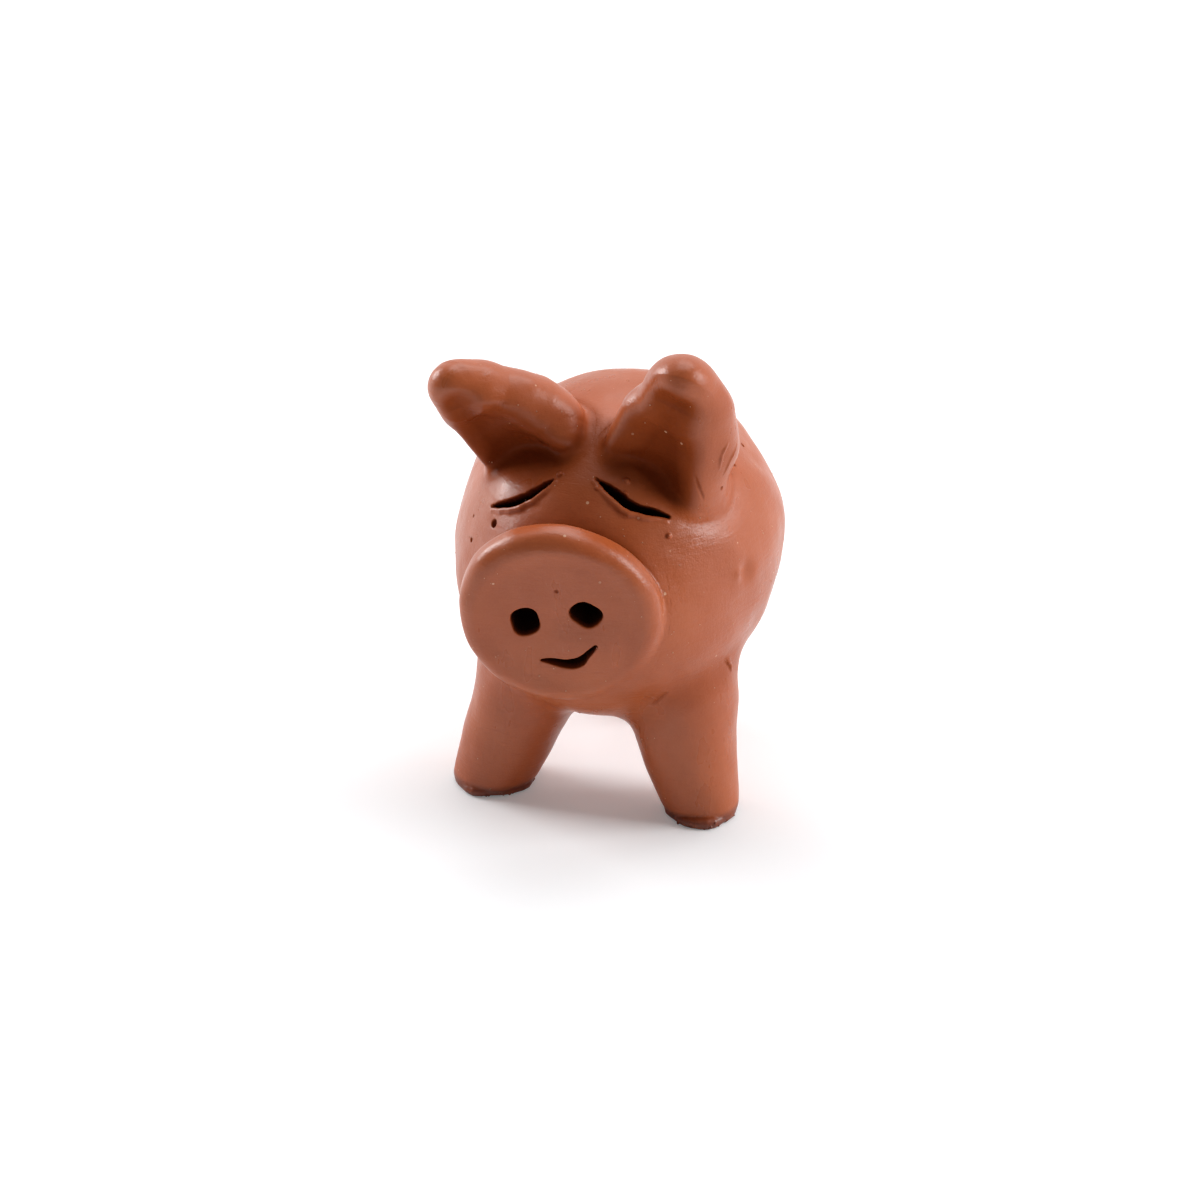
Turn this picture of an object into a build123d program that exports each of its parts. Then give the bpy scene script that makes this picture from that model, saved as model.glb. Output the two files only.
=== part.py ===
from build123d import *
import os
from math import atan2, cos, degrees, radians, sin, sqrt, tan

# Three-legged lucky pig in burnished terracotta: eight hand-formed pieces of solid clay, luted together.
# Millimetres. The pig looks along -Y and leans on nothing: its left side is +X and its soles stand at Z = 0.

# Body: an egg that lies along the pig, round in section: a ball behind, drawn out to a smaller ball in front
body_diameter = 27.2
body_front_length = 18.0
front_ball_radius = 10.9
belly_clearance = 7.0
nose_drop = 9.0
body_turn = 7.0

# Every limb is pressed this deep into its seat in the body
press_depth = 1.0

# Snout: a thick disc let into the front end of the body
snout_diameter = 16.3
snout_thickness = 3.2
snout_front_rounding = 1.4
snout_back_rounding = 0.7
snout_seat_depth = 3.6
snout_turn = 12.0
snout_drop = 10.0
snout_aside = 2.5
snout_rise = 3.2
nostril_diameter = 2.6
nostril_depth = 2.3
nostril_spacing = 4.9
nostril_aside = 0.2
nostril_rise = 0.5
nostril_tilt = 9.5
smile_length = 4.6
smile_width = 0.75
smile_depth = 0.5
smile_sag = 1.5
smile_tilt = 24.0
smile_aside = 0.65
smile_drop = 2.9

# Eyes: two closed lids, cut as slits, this far along the egg ahead of the ears
eye_width = 0.9
eye_depth = 1.1
left_eye_length = 6.5
left_eye_sag = 0.8
left_eye_tilt = -36.0
left_eye_ahead = 4.3
left_eye_around = 18.7
right_eye_length = 6.3
right_eye_sag = 0.4
right_eye_tilt = 42.0
right_eye_ahead = 5.0
right_eye_around = -33.6

# Ears: thick leaves, hollowed in front with the thumb
ear_root = 4.5
ear_hollow_diameter = 8.2
ear_hollow_length = 18.0
ear_hollow_depth = 3.3
left_ear_length = 10.9
left_ear_width = 10.4
left_ear_thickness = 8.2
left_ear_tip_width = 5.6
left_ear_tip_thickness = 4.8
left_ear_splay = 13.7
left_ear_lean = 18.1
left_ear_facing = 1.0
left_ear_seat = (73.4, 25.6)
right_ear_length = 9.8
right_ear_width = 10.4
right_ear_thickness = 8.3
right_ear_tip_width = 4.8
right_ear_tip_thickness = 4.4
right_ear_splay = -38.2
right_ear_lean = 28.8
right_ear_facing = 3.0
right_ear_seat = (77.0, -30.3)

# Legs: two in front, one behind, each a tapered peg with a flat sole
foot_diameter = 6.3
right_foot_diameter = 6.6
leg_root_diameter = 10.0
sole_rounding = 0.45
front_feet_ahead = 8.2
left_foot_out = 9.8
right_foot_out = 8.9
rear_foot_behind = 8.9
rear_foot_out = 0.8

# Tail: one curl of a rolled strand, lying on the rump
tail_strand = 1.7
tail_curl_diameter = 3.9
tail_curl_angle = 290.0
tail_lift = 0.45
tail_end_rounding = 0.6
tail_seat = (163.0, 0.0)

# Cuts start this far outside the surface that they open
overrun = 1.0

# Where a leg's upper end lies in the body, as shares of the body's half width, length and half height
left_leg_root_shares = (0.40, -0.35, -0.25)
right_leg_root_shares = (-0.24, -0.34, -0.25)
rear_leg_root_shares = (0.02, 0.41, -0.25)
# Along a leg, from sole to root: how much of its widening is done
leg_swell_shares = ((0.0, 0.0), (0.26, 0.26), (0.52, 0.60), (0.78, 0.95), (1.0, 0.85))
# Stations along an ear up to its rounded tip, and stations round that tip
ear_station_shares = (0.0, 0.35, 0.7)
tip_station_shares = (0.0, 0.45, 0.78, 0.96)
# How far up an ear the middle of its hollow lies
ear_hollow_share = 0.33

body_radius = body_diameter / 2
body_height = belly_clearance + body_radius
body_frame = Plane(Location((0, 0, body_height)) * Rotation(0, 0, body_turn) * Rotation(nose_drop, 0, 0))
body_axis = Axis(body_frame.origin, body_frame.y_dir)
# The flank between the two balls is one arc that runs on smoothly from both
ball_gap = body_front_length - front_ball_radius
flank_radius = (body_radius**2 + ball_gap**2 - front_ball_radius**2) / 2 / (body_radius - front_ball_radius)
flank_rise = flank_radius - body_radius
flank_angle = degrees(atan2(flank_rise, ball_gap))


def body_point(shares):
    """A point in the body, given as shares of its half width, front or rear length, and half height."""
    length = body_front_length if shares[1] < 0 else body_radius
    return body_frame.origin + Vector(shares[0] * body_radius, shares[1] * length, shares[2] * body_radius)


def local_direction(along, around):
    """A direction by its angle from the egg's front end, and its angle from the top to the pig's left."""
    side = sin(radians(along))
    return Vector(side * sin(radians(around)), -cos(radians(along)), side * cos(radians(around)))


def seat_plane(along, around):
    """The plane that touches the egg where its surface faces the given way."""
    facing = local_direction(along, around)
    if along < flank_angle:
        point = Vector(0, -ball_gap, 0) + facing * front_ball_radius
    elif along < 90:
        point = facing * flank_radius - local_direction(90, around) * flank_rise
    else:
        point = facing * body_radius
    outward = body_frame.x_dir * facing.X + body_frame.y_dir * facing.Y + body_frame.z_dir * facing.Z
    return Plane(body_frame.from_local_coords(point), x_dir=Vector(0, 0, 1).cross(outward), z_dir=outward)


def angle_ahead(along, distance):
    """The angle from the egg's front end of a place that lies this far along its outline ahead of another."""
    on_flank = max(radians(along - flank_angle), 0) * flank_radius
    if distance < on_flank:
        return along - degrees(distance / flank_radius)
    return min(along, flank_angle) - degrees((distance - on_flank) / front_ball_radius)


def moved_plane(plane, aside, rise, turn):
    """A plane shifted within itself and then turned about its own normal."""
    return Plane(plane.location * Location((aside, rise, 0), (0, 0, turn)))


def add_egg(inset, mode):
    """The body's egg, or a smaller one that lies inside it by the inset."""
    with BuildSketch(body_frame) as half_outline:
        with BuildLine():
            CenterArc((0, -ball_gap), front_ball_radius - inset, -90, flank_angle)
            CenterArc((-flank_rise, 0), flank_radius - inset, flank_angle - 90, 90 - flank_angle)
            CenterArc((0, 0), body_radius - inset, 0, 90)
            Line((0, body_radius - inset), (0, inset - body_front_length))
        make_face()
    revolve(half_outline.sketch, axis=body_axis, mode=mode)


def cut_lens(plane, length, width, sag, depth, start):
    """A groove that narrows to both ends and sags between them, cut below the plane."""
    with BuildSketch(plane.offset(start)) as groove:
        with BuildLine():
            ThreePointArc((-length / 2, 0), (0, width / 2 - sag), (length / 2, 0))
            ThreePointArc((length / 2, 0), (0, -width / 2 - sag), (-length / 2, 0))
        make_face()
    extrude(groove.sketch, amount=-(start + depth), mode=Mode.SUBTRACT)


def form_leg(foot, root, sole_diameter):
    """A leg from its flat sole up into the body, widening on the way, its root cut to its seat."""
    centre_line = root - foot
    with BuildPart() as leg:
        for along, swell in leg_swell_shares:
            level = foot + centre_line * along
            radius = (sole_diameter + (leg_root_diameter - sole_diameter) * swell) / 2
            with BuildSketch(Plane(level)):
                Circle(radius)
        loft()
        fillet(leg.faces().sort_by(Axis.Z)[0].edges(), radius=sole_rounding)
        add_egg(press_depth, Mode.SUBTRACT)
    return leg


def form_ear(seat, length, width, thickness, tip_width, tip_thickness, splay, lean, facing):
    """A leaf with a rounded tip, hollowed in front, its root cut to its seat."""
    axis = Vector(tan(radians(splay)), -tan(radians(lean)), 1).normalized()
    side = axis.cross(Vector(sin(radians(facing)), -cos(radians(facing)), 0))
    tip_start = 1 - tip_width / 2 / length
    stations = [(-ear_root / length, 1.0)]
    stations += [(share * tip_start, 1.0) for share in ear_station_shares]
    stations += [(tip_start + (1 - tip_start) * share, sqrt(1 - share**2)) for share in tip_station_shares]
    with BuildPart() as ear:
        for along, roundness in stations:
            half_width = (width + (tip_width - width) * along) / 2 * roundness
            half_thickness = (thickness + (tip_thickness - thickness) * along) / 2 * roundness
            with BuildSketch(Plane(seat.origin + axis * (length * along), x_dir=side, z_dir=axis)):
                Ellipse(half_width, half_thickness)
        loft()
        front = axis.cross(side) * -1
        hollow_offset = (thickness + ear_hollow_diameter) / 2 - ear_hollow_depth
        hollow_centre = seat.origin + front * hollow_offset + axis * (length * ear_hollow_share)
        with BuildSketch(Plane(hollow_centre, x_dir=front, z_dir=side)):
            with BuildLine():
                half_length = ear_hollow_length / 2
                EllipticalCenterArc((0, 0), ear_hollow_diameter / 2, half_length, start_angle=270, arc_size=180)
                Line((0, half_length), (0, -half_length))
            make_face()
        revolve(axis=Axis(hollow_centre, axis), mode=Mode.SUBTRACT)
        add_egg(press_depth, Mode.SUBTRACT)
    return ear


# Snout disc, let into the front of the egg
snout_out = Vector(
    sin(radians(snout_turn)) * cos(radians(snout_drop)),
    -cos(radians(snout_turn)) * cos(radians(snout_drop)),
    -sin(radians(snout_drop)),
)
front_ball_centre = body_frame.origin - body_frame.y_dir * ball_gap
touch_point = front_ball_centre + snout_out * front_ball_radius
touch_plane = Plane(touch_point, x_dir=Vector(0, 0, 1).cross(snout_out), z_dir=snout_out)
snout_back = moved_plane(touch_plane.offset(-snout_seat_depth), -snout_aside, snout_rise, 0)
snout_face = snout_back.offset(snout_thickness)
with BuildPart() as snout_disc:
    with BuildSketch(snout_back):
        Circle(snout_diameter / 2)
    extrude(amount=snout_thickness)
    rims = snout_disc.edges().sort_by(Axis(snout_back.origin, snout_out))
    fillet(rims[-1], radius=snout_front_rounding)
    fillet(snout_disc.edges().sort_by(Axis(snout_back.origin, snout_out))[0], radius=snout_back_rounding)
    with BuildSketch(moved_plane(snout_face, -nostril_aside, nostril_rise, nostril_tilt)):
        with GridLocations(nostril_spacing, 0, 2, 1):
            Circle(nostril_diameter / 2)
    extrude(amount=-nostril_depth, mode=Mode.SUBTRACT)
    smile_plane = moved_plane(snout_face, smile_aside, -smile_drop, smile_tilt)
    cut_lens(smile_plane, smile_length, smile_width, smile_sag, smile_depth, overrun)

# Ears
ear_left = form_ear(
    seat_plane(*left_ear_seat),
    left_ear_length,
    left_ear_width,
    left_ear_thickness,
    left_ear_tip_width,
    left_ear_tip_thickness,
    left_ear_splay,
    left_ear_lean,
    left_ear_facing,
)
ear_right = form_ear(
    seat_plane(*right_ear_seat),
    right_ear_length,
    right_ear_width,
    right_ear_thickness,
    right_ear_tip_width,
    right_ear_tip_thickness,
    right_ear_splay,
    right_ear_lean,
    right_ear_facing,
)

# Legs
front_leg_left = form_leg(
    Vector(left_foot_out, -front_feet_ahead, 0), body_point(left_leg_root_shares), foot_diameter
)
front_leg_right = form_leg(
    Vector(-right_foot_out, -front_feet_ahead, 0), body_point(right_leg_root_shares), right_foot_diameter
)
rear_leg = form_leg(Vector(rear_foot_out, rear_foot_behind, 0), body_point(rear_leg_root_shares), foot_diameter)

# Tail
tail_plane = seat_plane(*tail_seat).offset(tail_lift)
with BuildPart() as tail:
    with BuildLine(tail_plane) as curl:
        CenterArc((0, 0), tail_curl_diameter / 2, 90, tail_curl_angle)
    with BuildSketch(Plane(curl.line @ 0, z_dir=curl.line % 0)):
        Circle(tail_strand / 2)
    sweep()
    fillet(tail.faces().filter_by(GeomType.PLANE).edges(), radius=tail_end_rounding)
    add_egg(press_depth, Mode.SUBTRACT)

# Body, with a seat for each limb and the two eyes
limbs = (ear_left, ear_right, front_leg_left, front_leg_right, rear_leg, tail)
with BuildPart() as body:
    add_egg(0, Mode.ADD)
    with BuildSketch(snout_back):
        Circle(snout_diameter / 2)
    extrude(amount=snout_seat_depth + overrun, mode=Mode.SUBTRACT)
    for limb in limbs:
        add(limb.part, mode=Mode.SUBTRACT)
    left_eye_along = angle_ahead(left_ear_seat[0], left_eye_ahead)
    left_eye_plane = moved_plane(seat_plane(left_eye_along, left_eye_around), 0, 0, left_eye_tilt)
    cut_lens(left_eye_plane, left_eye_length, eye_width, left_eye_sag, eye_depth, overrun)
    right_eye_along = angle_ahead(right_ear_seat[0], right_eye_ahead)
    right_eye_plane = moved_plane(seat_plane(right_eye_along, right_eye_around), 0, 0, right_eye_tilt)
    cut_lens(right_eye_plane, right_eye_length, eye_width, right_eye_sag, eye_depth, overrun)

# The origin is the middle of the whole figure, on the floor
pieces = {
    "body": body,
    "snout_disc": snout_disc,
    "ear_left": ear_left,
    "ear_right": ear_right,
    "front_leg_left": front_leg_left,
    "front_leg_right": front_leg_right,
    "rear_leg": rear_leg,
    "tail": tail,
}
box = Compound([piece.part for piece in pieces.values()]).bounding_box()
to_origin = Location((-box.center().X, -box.center().Y, -box.min.Z))
os.makedirs("parts", exist_ok=True)
for name, piece in pieces.items():
    piece.part = piece.part.moved(to_origin)
    piece.part.label = name
    export_step(piece.part, f"parts/{name}.step")
print("size", box.size)
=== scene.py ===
import bmesh
import bpy
import math
import numpy as np
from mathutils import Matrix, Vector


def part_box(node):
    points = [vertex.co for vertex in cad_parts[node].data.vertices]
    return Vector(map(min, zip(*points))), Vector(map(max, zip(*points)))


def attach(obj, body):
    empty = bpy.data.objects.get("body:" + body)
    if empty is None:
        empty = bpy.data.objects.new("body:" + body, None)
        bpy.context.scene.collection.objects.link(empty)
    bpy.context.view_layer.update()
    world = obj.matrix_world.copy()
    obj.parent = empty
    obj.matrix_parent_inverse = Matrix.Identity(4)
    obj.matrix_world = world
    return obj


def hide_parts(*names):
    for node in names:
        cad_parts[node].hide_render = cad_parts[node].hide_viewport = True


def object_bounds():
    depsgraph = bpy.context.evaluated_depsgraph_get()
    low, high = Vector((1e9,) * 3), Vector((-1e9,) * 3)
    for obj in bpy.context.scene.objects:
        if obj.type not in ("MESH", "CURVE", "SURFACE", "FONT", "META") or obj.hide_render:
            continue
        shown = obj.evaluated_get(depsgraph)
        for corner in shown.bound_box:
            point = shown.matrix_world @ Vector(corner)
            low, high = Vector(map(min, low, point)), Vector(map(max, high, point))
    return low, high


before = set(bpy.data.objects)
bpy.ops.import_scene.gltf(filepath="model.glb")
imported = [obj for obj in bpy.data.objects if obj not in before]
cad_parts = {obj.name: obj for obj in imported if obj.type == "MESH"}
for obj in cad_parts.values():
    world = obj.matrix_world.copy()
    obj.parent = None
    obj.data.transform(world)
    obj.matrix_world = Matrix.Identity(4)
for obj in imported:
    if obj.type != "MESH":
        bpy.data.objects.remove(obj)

import openvdb
from mathutils import Matrix, Vector

# Terracotta lucky pig. The clay is shaped as one skin, in millimetres, from the same forms as the CAD solids,
# and then each piece is cut out of it, so that the luted seams close as they do on the real one. A field tells
# how far points lie outside a form: below zero is clay.
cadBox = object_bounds()
mm = 0.001
clayPlace = np.array((0.471, 1.2685, 0.0))  # where the clay's own zero lies in the frame


def unit(v):
    v = np.array(v, float)
    return v / np.linalg.norm(v)


def blendMin(a, b, k):  # two forms luted together, with a fillet about as wide as k
    h = np.clip(0.5 + 0.5 * (b - a) / k, 0, 1)
    return b + (a - b) * h - k * h * (1 - h)


def blendMax(a, b, k):
    return -blendMin(-a, -b, k)


def ellipsoidField(q, radii):  # q holds x, y and z apart
    k0 = np.sqrt(sum((q[i] / radii[i]) ** 2 for i in range(3)))
    k1 = np.sqrt(sum((q[i] / radii[i] ** 2) ** 2 for i in range(3))) + 1e-9
    return k0 * (k0 - 1) / k1


farAway = 1e3


def chainField(p, points, radii):  # a strand through points, as thick as its radii
    best = np.full(len(p), farAway)
    for a, b, ra, rb in zip(points[:-1], points[1:], radii[:-1], radii[1:]):
        ab = b - a
        q = p - a
        t = np.clip(q @ ab / (ab @ ab), 0, 1)
        d = np.sqrt(((q - t[:, None] * ab) ** 2).sum(1)) - (ra + (rb - ra) * t)
        best = np.minimum(best, d)
    return best


# Body: an egg along the pig, its nose end a little down and turned to the pig's right
body = {
    "centre": (-0.5, 1.6, 20.6), "turn": 7.0, "noseDrop": 9.0, "radius": 13.6, "rear": 13.3, "front": 18.0,
}


def bodyField(p):
    q = p - np.array(body["centre"])
    a, b = math.radians(body["turn"]), math.radians(body["noseDrop"])
    x = q[:, 0] * math.cos(a) + q[:, 1] * math.sin(a)
    y = -q[:, 0] * math.sin(a) + q[:, 1] * math.cos(a)
    z = q[:, 2]
    along = y * math.cos(b) + z * math.sin(b)
    rise = -y * math.sin(b) + z * math.cos(b)
    reach = np.where(along < 0, body["front"], body["rear"])
    return ellipsoidField((x, along, rise), (body["radius"], reach, body["radius"]))


# Legs: pegs that widen upwards and lean outwards
legs = {
    "frontLegLeft": {
        "top": (6.65, -5.4, 10.5), "foot": (9.3, -6.6, 0.0), "topRadius": 4.85, "footRadius": 3.0,
        "burrSide": 215,
    },
    "frontLegRight": {
        "top": (-5.6, -5.4, 10.5), "foot": (-9.05, -6.95, 0.0), "topRadius": 5.1, "footRadius": 3.3,
        "burrSide": -40,
    },
    "rearLeg": {
        "top": (0.0, 8.5, 10.5), "foot": (0.3, 10.5, 0.0), "topRadius": 4.8, "footRadius": 3.1,
        "burrSide": 90,
    },
}
legShape = {"fillet": 1.8, "capRise": 3.0, "capRounding": 3.0, "underFloor": 0.15, "leanShare": 0.93}
sole = {
    "rounding": 1.3, "rise": 0.36, "burr": 0.42, "burrShares": (0.8, 0.16), "inset": 0.06, "back": 0.5,
    "uneven": 0.06, "lumps": (1, 2, 3, 5, 8), "steps": 33, "seed": 31,
}


def legField(p, leg):
    top, foot = np.array(leg["top"]), np.array(leg["foot"])
    t = np.clip(p[:, 2] / top[2], -0.2, 1.6)
    centreX = foot[0] + (top[0] - foot[0]) * t
    centreY = foot[1] + (top[1] - foot[1]) * t
    radius = leg["footRadius"] + (leg["topRadius"] - leg["footRadius"]) * t
    d = (np.hypot(p[:, 0] - centreX, p[:, 1] - centreY) - radius) * legShape["leanShare"]
    d = blendMax(d, -p[:, 2] - legShape["underFloor"], sole["rounding"])
    return blendMax(d, p[:, 2] - top[2] - legShape["capRise"], legShape["capRounding"])


# Ears: leaves rolled from a lump, with a blunt nub at the tip and a deep thumb press in front. In the folds
# and the hollow, a place is across, out to the front and up along the ear
ears = {
    "earRight": {
        "base": (-5.5, -4.9, 30.1), "tip": (-11.8, -9.5, 37.6), "front": (0.13, -0.91, -0.40),
        "radii": (4.7, 1.9), "flat": 0.82,
        "folds": (
            (((0.6, -0.7, 3.2), 4.2), ((0.3, -0.4, 6.8), 3.2)),
            (((2.4, -0.6, 4.6), 2.2), ((2.9, -0.8, 1.8), 2.2), ((3.3, 1.2, 0.7), 1.5)),
            (((0.0, 0.2, 10.0), 1.4), ((0.0, 0.5, 10.3), 1.3)),
        ),
        "hollow": (((0.2, 2.5, 9.0), 0.8), ((-0.4, 4.3, 5.0), 3.5), ((-0.4, 4.8, 0.8), 4.2)),
        "foldEdge": 1.7, "hollowEdge": 1.8,
    },
    "earLeft": {
        "base": (5.5, -5.0, 29.2), "tip": (8.4, -8.2, 41.0), "front": (-0.09, -0.95, -0.29),
        "radii": (4.9, 3.3), "flat": 0.85,
        "folds": (
            (((-3.0, 0.2, 6.0), 1.4), ((-3.7, 1.2, 2.4), 1.3), ((-3.3, 2.6, 0.9), 1.0)),
            (((2.2, -0.8, 8.0), 2.0), ((3.1, -1.1, 4.4), 1.9)),
            (((0.0, 1.3, 11.4), 1.7), ((0.1, 2.5, 10.6), 0.9)),
        ),
        "hollow": (((-0.2, 3.1, 9.6), 0.9), ((-0.8, 4.5, 5.2), 3.0), ((-1.3, 4.9, 1.4), 3.6)),
        "foldEdge": 1.7, "hollowEdge": 2.4,
    },
}
earFillet = 0.7


def earAxes(ear):
    base, tip = np.array(ear["base"]), np.array(ear["tip"])
    length = np.linalg.norm(tip - base)
    w = (tip - base) / length
    front = unit(ear["front"])
    front = unit(front - w * (front @ w))
    return base, length, w, front, np.cross(w, front)


def earPlaces(p, ear):
    base, length, w, front, side = earAxes(ear)
    q = p - base
    return np.stack((q @ side, q @ front, q @ w), 1)


def strandField(q, strand):
    return chainField(q, [np.array(place) for place, radius in strand], [radius for place, radius in strand])


def earField(p, ear):  # the leaf before the thumb goes in
    q = earPlaces(p, ear)
    length = earAxes(ear)[1]
    low, high = ear["radii"]
    slant = (low - high) / (length - high)
    run = math.sqrt(1 - slant**2)
    r, t = np.hypot(q[:, 0], q[:, 1] / ear["flat"]), q[:, 2]
    along = -slant * r + run * t
    d = np.where(along < 0, np.hypot(r, t) - low, slant * t + run * r - low)
    d = np.where(along > run * (length - high), np.hypot(r, t - length + high) - high, d) * 0.9
    for fold in ear["folds"]:
        d = blendMin(d, strandField(q, fold), ear["foldEdge"])
    return d


def pressedEar(p, ear):
    return blendMax(earField(p, ear), -strandField(earPlaces(p, ear), ear["hollow"]), ear["hollowEdge"])


# Snout: a thick disc with a soft rim and a slightly dished face
snout = {
    "centre": (0.14, -16.5, 20.8), "radius": 8.17, "thickness": 3.2, "rounding": 1.4,
    "drop": 10.0, "turn": 12.0,
    "dish": 0.2, "dishInset": 1.2, "dishSlope": 1.4, "fillet": 0.35,
}


def snoutAxes():
    a, b = math.radians(snout["turn"]), math.radians(snout["drop"])
    out = np.array((math.sin(a) * math.cos(b), -math.cos(a) * math.cos(b), -math.sin(b)))
    side = unit(np.cross(out, (0, 0, 1)))  # towards the pig's right
    return out, -side, unit(np.cross(side, out))  # outwards, to image right, up


def snoutField(p):
    out, across, up = snoutAxes()
    q = p - np.array(snout["centre"])
    h, r = q @ out, np.hypot(q @ across, q @ up)
    qx = r - (snout["radius"] - snout["rounding"])
    qy = np.abs(h + snout["thickness"] / 2) - (snout["thickness"] / 2 - snout["rounding"])
    outside = np.sqrt(np.maximum(qx, 0) ** 2 + np.maximum(qy, 0) ** 2)
    d = outside + np.minimum(np.maximum(qx, qy), 0) - snout["rounding"]
    dish = np.clip((snout["radius"] - snout["dishInset"] - r) / snout["dishSlope"], 0, 1)
    face = h > -1
    return d + snout["dish"] * dish * dish * (3 - 2 * dish) * face


# Tail: one curl of a rolled strand on the rump, thinner towards its free end
tail = {
    "centre": (-2.039, 14.134, 26.759), "across": (-0.9925, -0.1219, 0.0), "up": (0.0534, -0.4351, 0.8988),
    "curl": 1.95, "curlShares": (1.08, 0.92), "fromAngle": 90, "toAngle": 380, "radius": (0.98, 0.62),
    "steps": 26, "lift": (0.12, -0.3, 0.5), "fillet": 0.35, "reach": 5.0, "outerRadius": 3.0,
}


def tailPath():
    centre, across, up = (np.array(tail[k]) for k in ("centre", "across", "up"))
    out = np.cross(across, up)
    angles = np.radians(np.linspace(tail["fromAngle"], tail["toAngle"], tail["steps"]))
    share = np.linspace(0, 1, tail["steps"])
    reach = tail["curl"] * np.interp(share, (0, 1), tail["curlShares"])
    start, dip, rise = tail["lift"]
    lift = start + dip * share + rise * share**3  # so that the free end clears the strand
    flat = np.outer(reach * np.cos(angles), across) + np.outer(reach * np.sin(angles), up)
    return centre + flat + np.outer(lift, out), np.interp(share, (0, 1), tail["radius"])


tailPoints, tailRadii = tailPath()


def tailField(p):
    away = np.linalg.norm(p - np.array(tail["centre"]), axis=1)
    d = away - tail["outerRadius"]
    near = away < tail["reach"]
    d[near] = chainField(p[near], tailPoints, tailRadii)
    return d


# Hand work: slow waves from rolling and smoothing, and single presses and swells of the fingers
waves = ((9.0, 0.11, 7, 11), (4.2, 0.026, 9, 12), (2.1, 0.007, 10, 13))  # length, height, how many, seed
smallDent = (12.32, -5.15, 22.07)
presses = (  # place, spread, height: dents are negative
    ((9.8, 4.7, 28.4), 3.6, -0.32),
    ((13.2, -1.0, 22.6), 3.6, 0.22),
    (smallDent, 0.8, -0.3),
    ((11.9, -6.1, 22.1), 0.5, 0.16),
)


def handField(p):
    d = np.zeros(len(p))
    for length, height, count, seed in waves:
        rng = np.random.default_rng(seed)
        for _ in range(count):
            k = unit(rng.normal(size=3)) * 2 * math.pi / (length * rng.uniform(0.8, 1.3))
            d += height * math.sqrt(2 / count) * np.sin(p @ k + rng.uniform(0, 6.28))
    for place, spread, height in presses:
        q = ((p - np.array(place)) ** 2).sum(1) / spread**2
        d -= height * np.exp(-np.minimum(q, 30))
    return d


floorEdge = 0.25


def smoothClay(p, oneEar=pressedEar):  # the whole figure before anything is cut into it
    d = bodyField(p)
    for leg in legs.values():
        d = blendMin(d, legField(p, leg), legShape["fillet"])
    for ear in ears.values():
        d = blendMin(d, oneEar(p, ear), earFillet)
    d = blendMin(d, snoutField(p), snout["fillet"])
    d = blendMin(d, tailField(p), tail["fillet"])
    return blendMax(d + handField(p), -p[:, 2], floorEdge)


def slope(field, p, step=0.02):
    e = np.eye(3) * step
    return np.stack([field(p + e[i]) - field(p - e[i]) for i in range(3)], 1) / (2 * step)


def settle(field, p, rounds=3, limit=0.3):  # moves points straight onto the surface
    p = np.array(p, float).reshape(-1, 3)
    for _ in range(rounds):
        g = slope(field, p)
        move = g * (field(p) / np.maximum((g**2).sum(1), 1e-6))[:, None]
        size = np.linalg.norm(move, axis=1)
        p = p - move * np.minimum(1, limit / np.maximum(size, 1e-9))[:, None]
    return p


def throughPoints(points, count):  # a smooth line through a few given points
    points = np.array(points, float)
    t = np.linspace(0, len(points) - 1, count)
    i = np.minimum(t.astype(int), len(points) - 2)
    f = (t - i)[:, None]
    padded = np.vstack((2 * points[0] - points[1], points, 2 * points[-1] - points[-2]))
    a, b, c, d = (padded[i + k] for k in range(4))
    return 0.5 * (2 * b + (c - a) * f + (2 * a - 5 * b + 4 * c - d) * f**2 + (3 * b - a - 3 * c + d) * f**3)


# Eyes: slits pressed in with a blade, which left a thin burr along the lower lid
eyes = {
    "right": {
        "line": ((-7.8, -9.8, 26.95), (-6.57, -10.4, 27.55), (-5.38, -10.7, 28.1), (-4.15, -10.5, 28.8),
                 (-3.01, -10.0, 29.65), (-2.5, -9.7, 30.1)),
        "width": (0.10, 0.30, 0.45, 0.46, 0.32, 0.06),
        "depth": 2.2, "lip": 0.34, "lipGap": 0.26, "seed": 4,
    },
    "left": {
        "line": ((1.0, -9.57, 30.57), (2.15, -9.9, 30.05), (3.08, -10.1, 29.55), (4.0, -10.3, 29.0),
                 (5.2, -10.07, 28.62), (6.17, -9.7, 28.35), (7.06, -9.4, 28.0)),
        "width": (0.08, 0.34, 0.42, 0.38, 0.38, 0.34, 0.14),
        "depth": 2.2, "lip": 0.34, "lipGap": 0.30, "seed": 9,
    },
}


blade = {"above": 1.5, "taper": 0.55}


def slitField(p, points, radii, inward, depth):  # a blade's cut along points, narrower as it goes in
    best = np.full(len(p), farAway)
    for a, b, ra, rb in zip(points[:-1], points[1:], radii[:-1], radii[1:]):
        q = p - a
        deep = q @ inward
        q = q - np.clip(deep, -blade["above"], depth)[:, None] * inward
        ab = b - a
        t = np.clip(q @ ab / (ab @ ab), 0, 1)
        width = (ra + (rb - ra) * t) * (1 - blade["taper"] * np.clip(deep / depth, 0, 1))
        best = np.minimum(best, np.sqrt(((q - t[:, None] * ab) ** 2).sum(1)) - width)
    return best


def spreadValues(values, count):
    return np.interp(np.linspace(0, 1, count), np.linspace(0, 1, len(values)), values)


marks = {  # how far round its points each kind of mark is worked out, and how soft its edge is
    "slit": (2.6, 0.14), "lip": (1.5, 0.2), "nostril": (4.6, 0.22), "smile": (1.5, 0.14), "burr": (1.6, 0.22),
    "pit": (1.2, 0.08), "grit": (1.2, 0.12), "scar": (1.2, 0.1),
}
cuts = []  # centre, reach, field, edge: taken out of the clay
lips = []  # centre, reach, field, edge: added to it


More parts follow.
